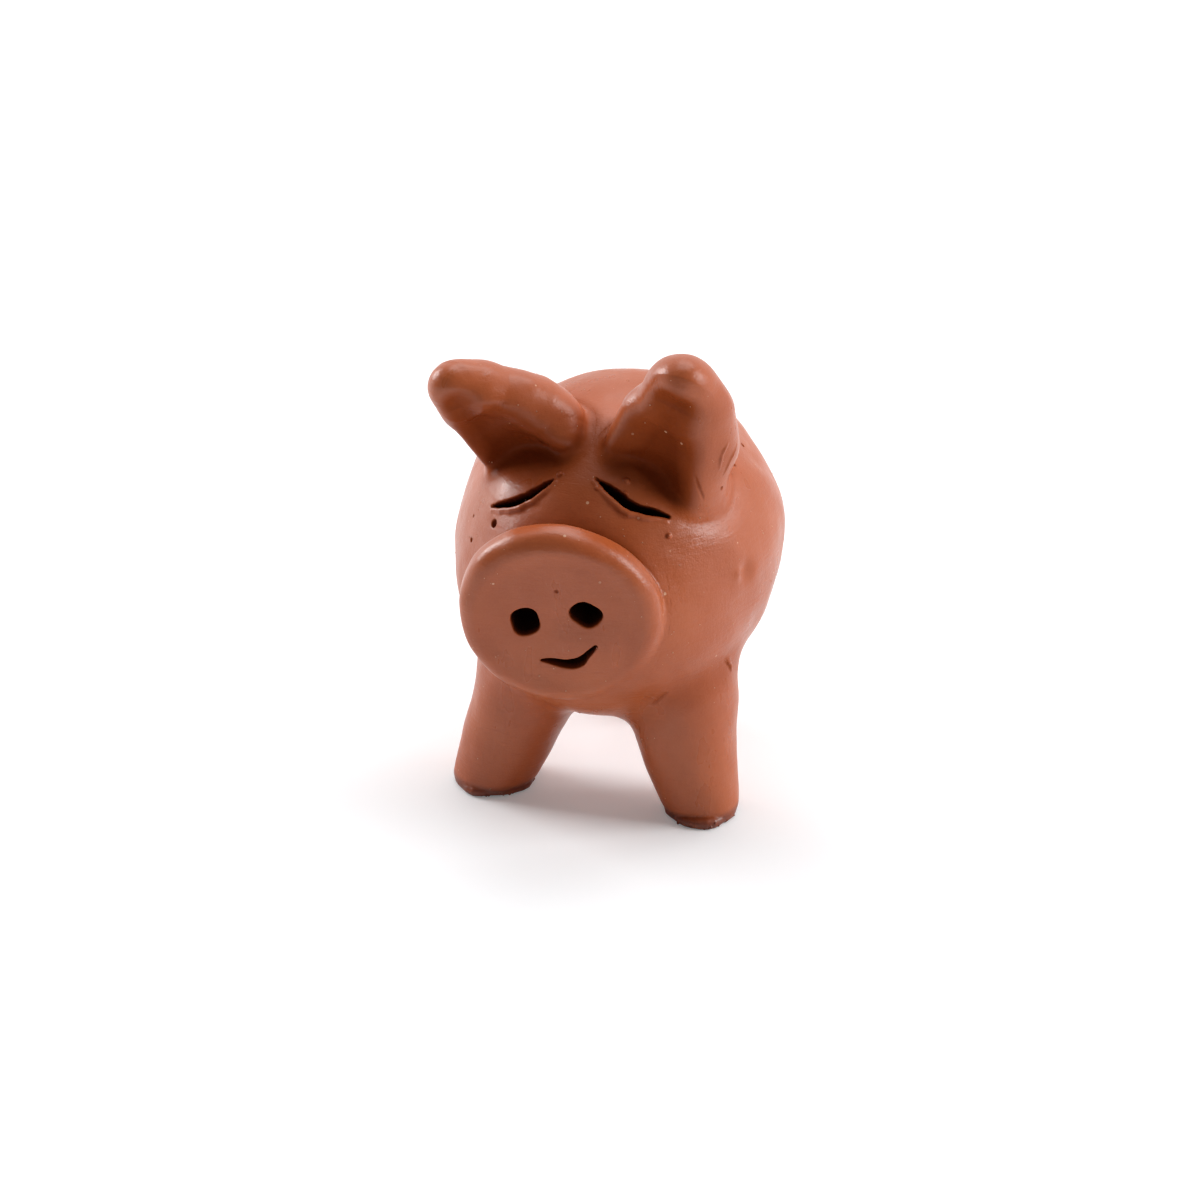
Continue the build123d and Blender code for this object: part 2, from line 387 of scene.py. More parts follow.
def addMark(store, kind, points, field):
    reach, edge = marks[kind]
    points = np.atleast_2d(points)
    centre = points.mean(0)
    store.append((centre, np.linalg.norm(points - centre, axis=1).max() + reach, field, edge))


lids = {"steps": 14, "ragged": (0.86, 1.14), "slant": 0.25, "lipSunk": 0.1}
for eye in eyes.values():
    line = settle(smoothClay, throughPoints(eye["line"], lids["steps"]))
    outward = unit(slope(smoothClay, line).mean(0))
    ragged = np.random.default_rng(eye["seed"]).uniform(*lids["ragged"], lids["steps"])
    radii = spreadValues(eye["width"], lids["steps"]) * ragged
    inward = unit(-outward + np.array((0, 0, lids["slant"])))
    slit = lambda p, l=line, r=radii, i=inward, d=eye["depth"]: slitField(p, l, r, i, d)
    addMark(cuts, "slit", line, slit)
    along = unit(line[-1] - line[0])
    below = unit(np.cross(along, outward))
    below = below if below[2] < 0 else -below
    share = np.linspace(0, 1, lids["steps"])
    lipLine = settle(smoothClay, line + below * (radii + eye["lipGap"])[:, None]) - outward * lids["lipSunk"]
    lipRadii = eye["lip"] * ragged * np.sin(np.clip(share, 0.06, 0.94) * math.pi) ** 0.5
    addMark(lips, "lip", lipLine, lambda p, l=lipLine, r=lipRadii: chainField(p, l, r))

# Nostrils, poked with a stick, and the scratched smile. Places on the disc: across, up
outOfDisc, acrossDisc, upDisc = snoutAxes()


def onDisc(across, up, out=0.0):
    return np.array(snout["centre"]) + acrossDisc * across + upDisc * up + outOfDisc * out


nostrils = (((-2.72, -0.2), 1.24, 21), ((2.18, 0.83), 1.22, 22))  # place, radius, seed
poke = {"depth": 3.6, "lobes": ((2, 0.07), (4, 0.045)), "taper": 0.05, "bottom": 0.8}


def pokeField(p, centre, radius, seed):  # a stick's hole, a little out of round
    rng = np.random.default_rng(seed)
    q = p - centre
    x, y, h = q @ acrossDisc, q @ upDisc, q @ outOfDisc
    angle = np.arctan2(y, x)
    oval, square = (share * np.sin(k * angle + rng.uniform(0, 6)) for k, share in poke["lobes"])
    rim = radius * (1 + oval + square)
    side = np.hypot(x, y) - rim * (1 + poke["taper"] * h / poke["depth"])
    return blendMax(side, -h - poke["depth"], poke["bottom"])


for spot, radius, seed in nostrils:
    centre = onDisc(*spot)
    addMark(cuts, "nostril", centre, lambda p, c=centre, r=radius, s=seed: pokeField(p, c, r, s))

smile = {
    "line": ((-1.5, -3.92), (-0.96, -3.93), (-0.32, -3.99), (0.41, -4.05), (1.06, -3.95), (1.65, -3.62),
             (2.12, -3.04), (2.54, -2.51), (2.95, -2.03)),
    "width": (0.10, 0.26, 0.38, 0.44, 0.50, 0.44, 0.28, 0.24, 0.14), "depth": 1.3, "steps": 22,
}
smileLine = throughPoints([onDisc(x, y, 0.05) for x, y in smile["line"]], smile["steps"])
smileRadii = spreadValues(smile["width"], smile["steps"])
addMark(cuts, "smile", smileLine, lambda p: slitField(p, smileLine, smileRadii, -outOfDisc, smile["depth"]))

# Feet, squashed while soft: a ragged burr round each sole
for leg in legs.values():
    rng = np.random.default_rng(sole["seed"] + len(lips))
    angles = np.linspace(0, 2 * math.pi, sole["steps"])
    ragged = sum(np.sin(angles * k + rng.uniform(0, 6.3)) / k**0.4 for k in sole["lumps"])
    away = 0.5 - 0.5 * np.cos(angles - math.radians(leg["burrSide"]))
    reach = leg["footRadius"] - sole["inset"] + sole["uneven"] * ragged - sole["back"] * away
    hoop = np.stack((reach * np.cos(angles), reach * np.sin(angles), 0 * angles + sole["rise"]), 1)
    ring = np.array(leg["foot"]) + hoop
    even, lumpy = sole["burrShares"]
    ringRadii = sole["burr"] * (even + lumpy * ragged)
    addMark(lips, "burr", ring, lambda p, l=ring, r=ringRadii: chainField(p, l, r))

# Pits where a grain fell out, and specks of grit: place, radius
pits = (
    ((-5.92, -10.76, 27.6), 0.16), ((-7.2, -11.05, 26.05), 0.36), ((-9.98, -8.51, 25.18), 0.14),
    ((-9.81, -9.73, 23.6), 0.2), ((9.72, 3.33, 29.4), 0.2), ((9.94, -0.93, 29.25), 0.15),
    ((10.69, -6.08, 29.47), 0.16),
    (tuple(onDisc(-0.12, 2.97)), 0.17), ((8.43, 3.75, 30.61), 0.12),
)
grit = (
    ((-2.13, -9.39, 30.44), 0.26), ((3.55, -9.18, 30.81), 0.24), ((3.55, -9.89, 29.76), 0.22),
    ((1.31, -10.22, 29.98), 0.18), ((7.39, -10.38, 26.79), 0.22), ((0.0, -11.04, 10.09), 0.12),
)
for kind, store, specks in (("pit", cuts, pits), ("grit", lips, grit)):
    for place, radius in specks:
        centre = settle(smoothClay, place)[0]
        addMark(store, kind, centre, lambda p, c=centre, r=radius: np.linalg.norm(p - c, axis=1) - r)

# Wrinkles and open seams: places, radius, and whether it stands out of the clay or is cut into it
scars = (
    (((11.0, -6.85, 34.0), (10.79, -7.25, 33.1), (10.61, -7.16, 31.72)), 0.13, lips),
    (((11.2, -5.6, 33.4), (10.9, -6.2, 32.2), (10.5, -6.3, 30.9)), 0.12, lips),
    (((9.1, -9.0, 31.2), (9.7, -8.6, 29.9), (10.1, -8.3, 28.9)), 0.11, cuts),
    (((6.2, -10.9, 11.3), (6.9, -10.9, 12.1), (7.6, -10.84, 12.8)), 0.12, cuts),
    (((-3.02, -11.39, 10.78), (-1.35, -11.47, 10.54), (0.06, -11.04, 10.09)), 0.09, cuts),
    (((10.6, -5.9, 14.3), (10.9, -5.4, 13.5), (11.0, -5.2, 12.7)), 0.22, lips),
)
scarShares = np.array((0.3, 0.8, 1.1, 0.8, 1.0, 0.7, 0.3))  # of the radius, along the scar
for places, radius, store in scars:
    line = settle(smoothClay, throughPoints(places, len(scarShares)))
    addMark(store, "scar", line, lambda p, l=line, r=radius * scarShares: chainField(p, l, r))


def clay(p):
    d = smoothClay(p)
    for store, sign in ((lips, 1), (cuts, -1)):
        for centre, reach, field, edge in store:
            near = ((p - centre) ** 2).sum(1) < reach**2
            if near.any():
                value = field(p[near])
                d[near] = blendMin(d[near], value, edge) if sign > 0 else blendMax(d[near], -value, edge)
    return np.maximum(d, -p[:, 2])


# Cutting the skin into pieces. A limb's plug goes this deep into the body, and its rim this far out over it
plug = {"deep": 1.2, "rim": 0.8, "overlap": 0.25, "dive": 0.02, "behindDisc": 0.35, "roundDisc": 0.55,
        "roundTail": 0.55, "underTail": 0.9}


def earPlug(name):
    return lambda p: np.maximum(earField(p, ears[name]) - plug["rim"], -bodyField(p) - plug["deep"])


def legPlug(name):
    return lambda p: np.maximum(legField(p, legs[name]) - plug["rim"], -bodyField(p) - plug["deep"])


def snoutPlug(p):
    q = p - np.array(snout["centre"])
    h, r = q @ outOfDisc, np.hypot(q @ acrossDisc, q @ upDisc)
    return np.maximum(-(h + snout["thickness"] + plug["behindDisc"]), r - snout["radius"] - plug["roundDisc"])


def tailPlug(p):
    return np.maximum(tailField(p) - plug["roundTail"], -bodyField(p) - plug["underTail"])


plugs = {
    "snoutDisc": snoutPlug, "earLeft": earPlug("earLeft"), "earRight": earPlug("earRight"),
    "frontLegLeft": legPlug("frontLegLeft"), "frontLegRight": legPlug("frontLegRight"),
    "rearLeg": legPlug("rearLeg"), "curledTail": tailPlug,
}


def plugPiece(name):  # the skin inside one plug, diving under the body's skin at its rim
    def field(p):
        r = plugs[name](p)
        d = clay(p) + plug["dive"] * np.clip(r / plug["overlap"], 0, 1)
        return np.maximum(d, r - plug["overlap"])
    return field


def bodyPiece(p):
    d = clay(p)
    for limbPlug in plugs.values():
        r = limbPlug(p)
        d = d + plug["dive"] * np.clip(-r / plug["overlap"], 0, 1)
        d = np.maximum(d, -r - plug["overlap"])
    return d


def skin(field, low, high, voxel):  # closed quads around everything where the field is below zero
    step = 4
    counts = (np.ceil((high - low) / voxel / step).astype(int) + 1) * step
    coarse = [low[i] + voxel * step * (np.arange(counts[i] // step) + 0.375) for i in range(3)]
    nodes = np.stack(np.meshgrid(*coarse, indexing="ij"), -1).reshape(-1, 3)
    rough = field(nodes).reshape([c // step for c in counts])
    values = rough.repeat(step, 0).repeat(step, 1).repeat(step, 2)
    index = np.argwhere(np.abs(values) < voxel * step * 1.6 + 0.25)
    batch = 300000
    for part in np.array_split(index, max(1, len(index) // batch)):
        values[part[:, 0], part[:, 1], part[:, 2]] = field(low + part * voxel)
    grid = openvdb.FloatGrid(3.0)
    grid.copyFromArray(values.astype(np.float32))
    points, quads = grid.convertToQuads(0.0)
    points = low + np.array(points, float) * voxel
    quads = np.array(quads)
    a, b, c, d = (points[quads[:, k]] for k in range(4))
    volume = (np.cross(b - a, c - a) * a).sum() + (np.cross(c - a, d - a) * a).sum()
    if volume < 0:
        quads = quads[:, ::-1]
    return settle(field, points, 2, voxel * 0.6), quads


def meshObject(name, points, faces):
    mesh = bpy.data.meshes.new(name)
    mesh.from_pydata((points + clayPlace) * mm, [], faces.tolist())
    mesh.update()
    piece = bpy.data.objects.new(name, mesh)
    bpy.context.scene.collection.objects.link(piece)
    return piece


def addValues(piece, name, values):
    piece.data.attributes.new(name, "FLOAT", "POINT").data.foreach_set("value", values)


paintedShadeSpots = (  # painted shade between the ears and beside the eyes: place, spread, share
    ((0.0, -9.8, 30.6), 3.0, 0.30),
    ((4.4, -10.2, 28.0), 2.6, 0.15),
    ((-5.6, -10.0, 28.4), 2.2, 0.15),
)
# how the painted shade grows with the depth of a thumb press and with clay close by along the normal
hollow = {"depth": 2.6, "share": 0.62, "reaches": ((0.4, 0.22), (1.0, 0.27), (2.2, 0.27), (4.0, 0.22))}


def paintedShadeMask(points, normals):  # painted shade mask: 0 on an open swell, towards 1 in a press of the thumb or a crease
    closed = np.clip(-smoothClay(points, earField) / hollow["depth"], 0, hollow["share"])
    for reach, weight in hollow["reaches"]:
        closed += weight * np.clip(1 - smoothClay(points + normals * reach) / reach, 0, 1)
    for place, spread, share in paintedShadeSpots:
        closed += share * np.exp(-np.minimum(((points - place) ** 2).sum(1) / spread**2, 30))
    return np.clip(closed, 0, 1)


def makeFiner(piece, field, voxel, fine, fineCuts):  # finer faces where something is cut in
    bm = bmesh.new()
    bm.from_mesh(piece.data)
    bm.verts.ensure_lookup_table()
    at = np.array([v.co for v in bm.verts]) / mm - clayPlace
    near = np.zeros(len(at), bool)
    for centre, reach in fine:
        near |= ((at - centre) ** 2).sum(1) < reach**2
    edges = [e for e in bm.edges if near[e.verts[0].index] and near[e.verts[1].index]]
    bmesh.ops.subdivide_edges(bm, edges=edges, cuts=fineCuts, use_grid_fill=True)
    at = np.array([v.co for v in bm.verts]) / mm - clayPlace
    at = settle(field, at, 2, voxel * 0.4)
    for v, co in zip(bm.verts, (at + clayPlace) * mm):
        v.co = co
    bm.to_mesh(piece.data)
    bm.free()


def clayPiece(name, field, low, high, voxel, fine, fineCuts=1):
    points, quads = skin(field, low, high, voxel)
    piece = meshObject(name, points, quads)
    if fine:
        makeFiner(piece, field, voxel, fine, fineCuts)
    at = np.empty(len(piece.data.vertices) * 3)
    normals = np.empty(len(piece.data.vertices) * 3)
    piece.data.vertices.foreach_get("co", at)
    piece.data.vertex_normals.foreach_get("vector", normals)
    at = at.reshape(-1, 3) / mm - clayPlace
    addValues(piece, "sunk", np.clip(-smoothClay(at), 0, 3))  # how far below the smoothed clay, in mm, the mask for the painted shade down in the cuts
    # the mask for the painted shade in thumb presses, creases and between the ears
    addValues(piece, "paintedShade", paintedShadeMask(at, normals.reshape(-1, 3)))
    piece.data.shade_smooth()
    print(name, len(piece.data.polygons), "faces")
    return piece


# Pieces: the CAD node that each replaces, and how fine its mesh is, in mm
pieces = {
    "snoutDisc": {"node": "snout_disc", "voxel": 0.12},
    "earLeft": {"node": "ear_left", "voxel": 0.11},
    "earRight": {"node": "ear_right", "voxel": 0.11},
    "frontLegLeft": {"node": "front_leg_left", "voxel": 0.12},
    "frontLegRight": {"node": "front_leg_right", "voxel": 0.12},
    "rearLeg": {"node": "rear_leg", "voxel": 0.14},
    "curledTail": {"node": "tail", "voxel": 0.07},
    "clayBody": {"node": "body", "voxel": 0.235},
}
meshing = {
    "limbMargin": 1.6, "margin": 0.8, "underFloor": 0.3, "bodyTop": 35.5, "quickTimes": 2.0,
    "fineMargin": 0.5, "eyeReach": 1.3, "eyeSteps": 8, "smileReach": 3.0, "dentReach": 1.8,
}
detail = 1.0
lowest, highest = (np.array(corner) / mm - clayPlace for corner in cadBox)


def discDetails():
    holes = [(onDisc(*spot), radius + meshing["fineMargin"]) for spot, radius, seed in nostrils]
    return holes + [(smileLine.mean(0), meshing["smileReach"])]


def bodyDetails():
    specks = [(settle(smoothClay, place)[0], radius + meshing["fineMargin"]) for place, radius in pits + grit]
    lines = [throughPoints(eye["line"], meshing["eyeSteps"]) for eye in eyes.values()]
    slits = [(point, meshing["eyeReach"]) for line in lines for point in line]
    return specks + slits + [(np.array(smallDent), meshing["dentReach"])]


def makeLimb(name):
    low, high = (np.array(corner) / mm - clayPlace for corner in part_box(pieces[name]["node"]))
    low, high = low - meshing["limbMargin"], high + meshing["limbMargin"]
    low[2] = max(low[2], -meshing["underFloor"])
    fine = discDetails() if name == "snoutDisc" else []
    return clayPiece(name, plugPiece(name), low, high, pieces[name]["voxel"] * detail, fine)


def makeBody():
    high = np.array((*(highest[:2] + meshing["margin"]), meshing["bodyTop"]))
    voxel = pieces["clayBody"]["voxel"] * detail
    return clayPiece("clayBody", bodyPiece, lowest - meshing["margin"], high, voxel, bodyDetails(), 2)


made = {name: makeLimb(name) for name in plugs}
made["clayBody"] = makeBody()
print("pieces shaped")


# Terracotta: burnished, unglazed, with pale grog in it, and with painted shade in its presses, creases and
# cuts
clayLook = {
    "base": (0.435, 0.092, 0.0245), "light": (0.48, 0.117, 0.036), "dark": (0.365, 0.069, 0.016),
    # hollow is painted shade for presses, creases and the brow; deep is painted shade down in the cuts; foot
    # is a darker tone just above the floor
    "hollow": (0.19, 0.032, 0.007), "deep": (0.035, 0.0095, 0.004), "foot": (0.20, 0.047, 0.022),
    "grog": (0.72, 0.42, 0.27), "scuff": (0.56, 0.27, 0.17),
    "roughness": (0.25, 0.40), "gloss": (0.48, 0.04), "footHeight": 0.0012,
}
patternScale = {
    "patches": 110, "mottle": 420, "strokes": 1500, "scratches": 1900, "grain": 6500,
    "speckle": 720, "polish": 380,
}
strokeWays = {  # turn and scale of the two ways in which the clay was rubbed
    "rings": ((0.1, 0.15, 0.3), (0.35, 0.35, 1.6)),
    "drawn": ((0.35, -0.4, 0.4), (1.2, 1.0, 0.42)),
}
relief = {"grain": (0.5, 0.00003), "strokes": (0.5, 0.0001), "scratches": (0.35, 0.00006)}  # strength, depth


def terracotta():
    material = bpy.data.materials.new("terracotta")
    material.use_nodes = True
    tree = material.node_tree
    tree.nodes.clear()
    add, link = tree.nodes.new, tree.links.new

    def noise(name, detailLevel, source, roughness=0.5):
        node = add("ShaderNodeTexNoise")
        node.inputs["Scale"].default_value = patternScale[name]
        node.inputs["Detail"].default_value = detailLevel
        node.inputs["Roughness"].default_value = roughness
        link(source, node.inputs["Vector"])
        return node.outputs["Fac"]

    def stretched(turn, scale):  # object coordinates, drawn out along the strokes of a burnishing stone
        node = add("ShaderNodeMapping")
        node.inputs["Rotation"].default_value = turn
        node.inputs["Scale"].default_value = scale
        link(place, node.inputs["Vector"])
        return node.outputs["Vector"]

    def between(source, low, high, toLow=0.0, toHigh=1.0):
        node = add("ShaderNodeMapRange")
        node.inputs["From Min"].default_value = low
        node.inputs["From Max"].default_value = high
        node.inputs["To Min"].default_value = toLow
        node.inputs["To Max"].default_value = toHigh
        link(source, node.inputs["Value"])
        return node.outputs["Result"]

    def mixed(share, first, second):  # colours, or outputs that give one
        node = add("ShaderNodeMix")
        node.data_type = "RGBA"
        link(share, node.inputs["Factor"])
        for socket, colour in ((node.inputs[6], first), (node.inputs[7], second)):
            if isinstance(colour, tuple):
                socket.default_value = (*colour, 1)
            else:
                link(colour, socket)
        return node.outputs[2]

    def product(first, second):
        node = add("ShaderNodeMath")
        node.operation = "MULTIPLY"
        link(first, node.inputs[0])
        link(second, node.inputs[1])
        return node.outputs[0]

    def bump(height, strength, distance, under=None):
        node = add("ShaderNodeBump")
        node.inputs["Strength"].default_value = strength
        node.inputs["Distance"].default_value = distance
        link(height, node.inputs["Height"])
        if under:
            link(under, node.inputs["Normal"])
        return node.outputs["Normal"]

    def attribute(name):
        node = add("ShaderNodeAttribute")
        node.attribute_name = name
        return node.outputs["Fac"]

    place = add("ShaderNodeTexCoord").outputs["Object"]
    rings, drawn = stretched(*strokeWays["rings"]), stretched(*strokeWays["drawn"])
    strokes = noise("strokes", 4, rings, 0.6)
    scratches = noise("scratches", 3, drawn, 0.6)
    grain = noise("grain", 3, place)
    tone = mixed(between(noise("patches", 3, place), 0.35, 0.65), clayLook["dark"], clayLook["light"])
    tone = mixed(between(noise("mottle", 4, drawn), 0.3, 0.7, 0.35, 0.75), tone, clayLook["base"])
    tone = mixed(between(grain, 0.35, 0.72, 0.0, 0.4), tone, clayLook["light"])
    tone = mixed(between(strokes, 0.36, 0.22, 0.0, 0.5), tone, clayLook["dark"])
    tone = mixed(between(scratches, 0.68, 0.82, 0.0, 0.3), tone, clayLook["scuff"])
    # painted shade in the thumb presses, creases and between the ears
    tone = mixed(between(attribute("paintedShade"), 0.10, 0.80), tone, clayLook["hollow"])

    # Specks of pale grog under the skin: some of the cells, each of its own size and paleness
    cells = add("ShaderNodeTexVoronoi")
    cells.inputs["Scale"].default_value = patternScale["speckle"]
    link(place, cells.inputs["Vector"])
    chosen = add("ShaderNodeSeparateColor")
    link(cells.outputs["Color"], chosen.inputs["Color"])
    size = between(chosen.outputs["Red"], 0.55, 1.0, 0.0, 0.10)
    spot = add("ShaderNodeMath")
    spot.operation = "LESS_THAN"
    link(cells.outputs["Distance"], spot.inputs[0])
    link(size, spot.inputs[1])
    paleness = between(chosen.outputs["Green"], 0.0, 1.0, 0.3, 0.9)
    tone = mixed(product(spot.outputs[0], paleness), tone, clayLook["grog"])
    tone = mixed(attribute("grog"), tone, clayLook["grog"])

    # Darker in a band just above the floor, and painted shade, nearly black, down in the cuts
    height = add("ShaderNodeSeparateXYZ")
    link(place, height.inputs["Vector"])
    nearFloor = between(height.outputs["Z"], clayLook["footHeight"], clayLook["footHeight"] * 0.5)
    tone = mixed(product(nearFloor, between(strokes, 0.3, 0.5, 0.6, 1.0)), tone, clayLook["foot"])
    # painted shade, nearly black, down in the nostrils, eye slits and smile
    tone = mixed(between(attribute("sunk"), 0.08, 0.7), tone, clayLook["deep"])

    shader = add("ShaderNodeBsdfPrincipled")
    link(tone, shader.inputs["Base Color"])
    roughness = between(noise("polish", 3, drawn), 0.3, 0.7, *clayLook["roughness"])
    link(roughness, shader.inputs["Roughness"])
    link(between(attribute("paintedShade"), 0.08, 0.45, *clayLook["gloss"]), shader.inputs["Specular IOR Level"])
    grained = bump(grain, *relief["grain"])
    ringed = bump(strokes, *relief["strokes"], grained)
    link(bump(scratches, *relief["scratches"], ringed), shader.inputs["Normal"])
    out = add("ShaderNodeOutputMaterial")
    link(shader.outputs["BSDF"], out.inputs["Surface"])
    return material


clayMaterial = terracotta()
for name, piece in made.items():
    piece.data.materials.append(clayMaterial)
    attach(piece, "root")
    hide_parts(pieces[name]["node"])
print("clay painted")

# Grains: pale grog that stands out of the skin, and crumbs of clay that stuck round the soles
grains = {"perArea": 90000.0, "grogSize": 0.00005, "crumbPerArea": 2600000.0, "crumbSize": 0.00013,
          "crumbHeight": 0.0006, "seed": 5}
grainBase = {"voxel": 0.4, "lowest": 0.12, "sizeShares": (0.5, 1.4), "paleness": 0.8}


def grainTree():
    tree = bpy.data.node_groups.new("clayGrains", "GeometryNodeTree")
    tree.interface.new_socket("Geometry", in_out="INPUT", socket_type="NodeSocketGeometry")
    for name, value in grains.items():
        kind = "NodeSocketFloat" if isinstance(value, float) else "NodeSocketInt"
        tree.interface.new_socket(name, in_out="INPUT", socket_type=kind)
    tree.interface.new_socket("clay", in_out="INPUT", socket_type="NodeSocketMaterial")
    tree.interface.new_socket("Geometry", in_out="OUTPUT", socket_type="NodeSocketGeometry")
    add, link = tree.nodes.new, tree.links.new
    given, out = add("NodeGroupInput"), add("NodeGroupOutput")

    def choose(low, first, second):
        node = add("GeometryNodeSwitch")
        node.input_type = "FLOAT"
        link(low, node.inputs["Switch"])
        for socket, value in ((node.inputs["True"], first), (node.inputs["False"], second)):
            if isinstance(value, float):
                socket.default_value = value
            else:
                link(value, socket)
        return node.outputs["Output"]

    height = add("ShaderNodeSeparateXYZ")
    link(add("GeometryNodeInputPosition").outputs["Position"], height.inputs["Vector"])
    low = add("FunctionNodeCompare")  # the crumbs lie low, round the soles
    low.operation = "LESS_THAN"
    link(height.outputs["Z"], low.inputs["A"])
    link(given.outputs["crumbHeight"], low.inputs["B"])
    scatter = add("GeometryNodeDistributePointsOnFaces")
    link(given.outputs["Geometry"], scatter.inputs["Mesh"])
    density = choose(low.outputs["Result"], given.outputs["crumbPerArea"], given.outputs["perArea"])
    link(density, scatter.inputs["Density"])
    link(given.outputs["seed"], scatter.inputs["Seed"])
    ball = add("GeometryNodeMeshIcoSphere")
    ball.inputs["Radius"].default_value = 1.0
    ball.inputs["Subdivisions"].default_value = 1
    share = add("FunctionNodeRandomValue")
    share.inputs[2].default_value, share.inputs[3].default_value = grainBase["sizeShares"]
    link(given.outputs["seed"], share.inputs["Seed"])
    size = add("ShaderNodeMath")
    size.operation = "MULTIPLY"
    link(choose(low.outputs["Result"], given.outputs["crumbSize"], given.outputs["grogSize"]), size.inputs[0])
    link(share.outputs[1], size.inputs[1])
    pale = add("GeometryNodeStoreNamedAttribute")
    pale.data_type = "FLOAT"
    pale.domain = "POINT"
    pale.inputs["Name"].default_value = "grog"
    link(scatter.outputs["Points"], pale.inputs["Geometry"])
    link(choose(low.outputs["Result"], 0.0, grainBase["paleness"]), pale.inputs["Value"])
    spread = add("GeometryNodeInstanceOnPoints")
    link(pale.outputs["Geometry"], spread.inputs["Points"])
    link(ball.outputs["Mesh"], spread.inputs["Instance"])
    link(scatter.outputs["Rotation"], spread.inputs["Rotation"])
    link(size.outputs[0], spread.inputs["Scale"])
    real = add("GeometryNodeRealizeInstances")
    link(spread.outputs["Instances"], real.inputs["Geometry"])
    painted = add("GeometryNodeSetMaterial")
    link(real.outputs["Geometry"], painted.inputs["Geometry"])
    link(given.outputs["clay"], painted.inputs["Material"])
    link(painted.outputs["Geometry"], out.inputs["Geometry"])
    return tree


def makeGrains():
    points, quads = skin(clay, lowest - meshing["margin"], highest + meshing["margin"], grainBase["voxel"])
    points[:, 2] = np.maximum(points[:, 2], grainBase["lowest"])
    base = meshObject("grainBase", points, quads)
    modifier = base.modifiers.new("grains", "NODES")
    tree = grainTree()
    modifier.node_group = tree
    values = {**grains, "clay": clayMaterial}
    for item in tree.interface.items_tree:
        if item.in_out == "INPUT" and item.name in values:
            modifier[item.identifier] = values[item.name]
    mesh = bpy.data.meshes.new_from_object(base.evaluated_get(bpy.context.evaluated_depsgraph_get()))
    mesh.name = "grains"
    piece = bpy.data.objects.new("grains", mesh)
    bpy.context.scene.collection.objects.link(piece)
    bpy.data.objects.remove(base)
    mesh.shade_smooth()
    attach(piece, "root")
    print("grains", len(mesh.polygons), "faces")


makeGrains()

# Floor, white backdrop and soft boxes: a light tent that is open towards the camera
studio = {
    "floor": (0.895, 0.912, 0.93), "floorReach": 2.0, "floorGlow": 0.15,
    "front": 0.17, "back": 0.96, "backFrom": 0.7, "lampAim": (0, 0, 0.02),
    "lamps": {
        "overhead": {"from": (0.00, 0.20, 0.45), "size": 0.34, "power": 0.95},
        "left": {"from": (-0.38, 0.08, 0.19), "size": 0.22, "power": 1.36},
        "right": {"from": (0.38, 0.10, 0.21), "size": 0.22, "power": 1.24},
    },
}


def makeFloor():
    mesh = bpy.data.meshes.new("floor")
    far = studio["floorReach"]
    mesh.from_pydata([(-far, -far, 0), (far, -far, 0), (far, far, 0), (-far, far, 0)], [], [(0, 1, 2, 3)])
    floor = bpy.data.objects.new("floor", mesh)
    bpy.context.scene.collection.objects.link(floor)
    material = bpy.data.materials.new("whiteCard")
    material.use_nodes = True
    tree = material.node_tree
    shader = tree.nodes["Principled BSDF"]
    shader.inputs["Base Color"].default_value = (*studio["floor"], 1)
    shader.inputs["Roughness"].default_value = 0.9
    shader.inputs["Specular IOR Level"].default_value = 0.1
    shader.inputs["Emission Color"].default_value = (1, 1, 1, 1)
    path = tree.nodes.new("ShaderNodeLightPath")
    glow = tree.nodes.new("ShaderNodeMath")  # seen by the camera alone, so that the card stays white
    glow.operation = "MULTIPLY"
    glow.inputs[1].default_value = studio["floorGlow"]
    tree.links.new(path.outputs["Is Camera Ray"], glow.inputs[0])
    tree.links.new(glow.outputs[0], shader.inputs["Emission Strength"])
    mesh.materials.append(material)


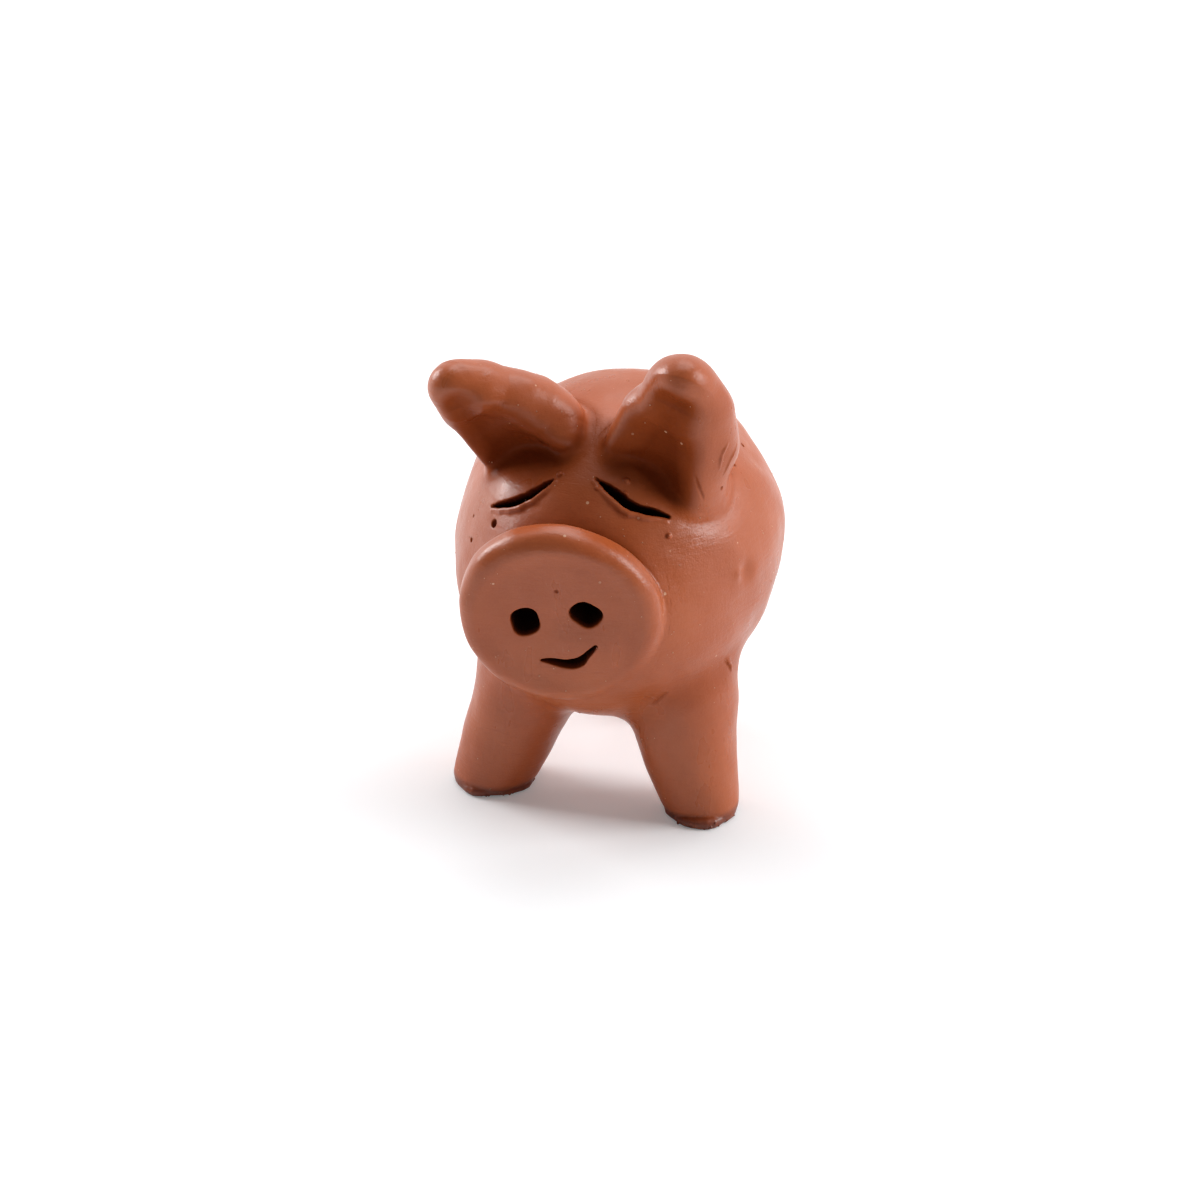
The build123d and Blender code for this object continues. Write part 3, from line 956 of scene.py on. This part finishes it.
def makeWorld():
    world = bpy.data.worlds.new("studio")
    bpy.context.scene.world = world
    world.use_nodes = True
    tree = world.node_tree
    tree.nodes.clear()
    add, link = tree.nodes.new, tree.links.new
    path = add("ShaderNodeLightPath")
    soft, white, mix = add("ShaderNodeBackground"), add("ShaderNodeBackground"), add("ShaderNodeMixShader")
    way, behind = add("ShaderNodeSeparateXYZ"), add("ShaderNodeMapRange")  # bright behind, dark in front
    link(add("ShaderNodeTexCoord").outputs["Generated"], way.inputs["Vector"])
    behind.inputs["From Max"].default_value = studio["backFrom"]
    behind.inputs["To Min"].default_value = studio["front"]
    behind.inputs["To Max"].default_value = studio["back"]
    link(way.outputs["Y"], behind.inputs["Value"])
    link(behind.outputs["Result"], soft.inputs["Strength"])
    soft.inputs["Color"].default_value = (1, 1, 1, 1)
    white.inputs["Strength"].default_value = 1.0
    white.inputs["Color"].default_value = (1, 1, 1, 1)
    link(path.outputs["Is Camera Ray"], mix.inputs[0])
    link(soft.outputs[0], mix.inputs[1])
    link(white.outputs[0], mix.inputs[2])
    out = add("ShaderNodeOutputWorld")
    link(mix.outputs[0], out.inputs["Surface"])


def makeLamp(name, lamp):
    data = bpy.data.lights.new(name, "AREA")
    data.shape = "SQUARE"
    data.size = lamp["size"]
    data.energy = lamp["power"]
    lampObject = bpy.data.objects.new(name, data)
    lampObject.location = lamp["from"]
    way = Vector(studio["lampAim"]) - Vector(lamp["from"])
    lampObject.rotation_euler = way.to_track_quat("-Z", "Y").to_euler()
    bpy.context.scene.collection.objects.link(lampObject)


makeFloor()
makeWorld()
for name, lamp in studio["lamps"].items():
    makeLamp(name, lamp)

# Camera: a little to the pig's left and above it, as in the photograph
view = {
    "target": (*clayPlace[:2] * mm, 0.019), "distance": 0.330, "azimuth": 18.0, "elevation": 26.0,
    "sensor": 36, "lens": 118.8, "shift": (-0.0175, -0.0358), "clip": (0.01, 20),
}


def makeCamera():
    a, e = math.radians(view["azimuth"]), math.radians(view["elevation"])
    back = Vector((math.sin(a) * math.cos(e), -math.cos(a) * math.cos(e), math.sin(e)))
    right = Vector((math.cos(a), math.sin(a), 0))
    up = back.cross(right)
    data = bpy.data.cameras.new("camera")
    data.sensor_width = view["sensor"]
    data.lens = view["lens"]
    data.shift_x, data.shift_y = view["shift"]
    data.clip_start, data.clip_end = view["clip"]
    camera = bpy.data.objects.new("camera", data)
    stand = Matrix.Translation(Vector(view["target"]) + back * view["distance"])
    camera.matrix_world = stand @ Matrix((right, up, back)).transposed().to_4x4()
    bpy.context.scene.collection.objects.link(camera)
    bpy.context.scene.camera = camera


makeCamera()
bpy.context.scene.view_settings.view_transform = "Standard"

print("done")
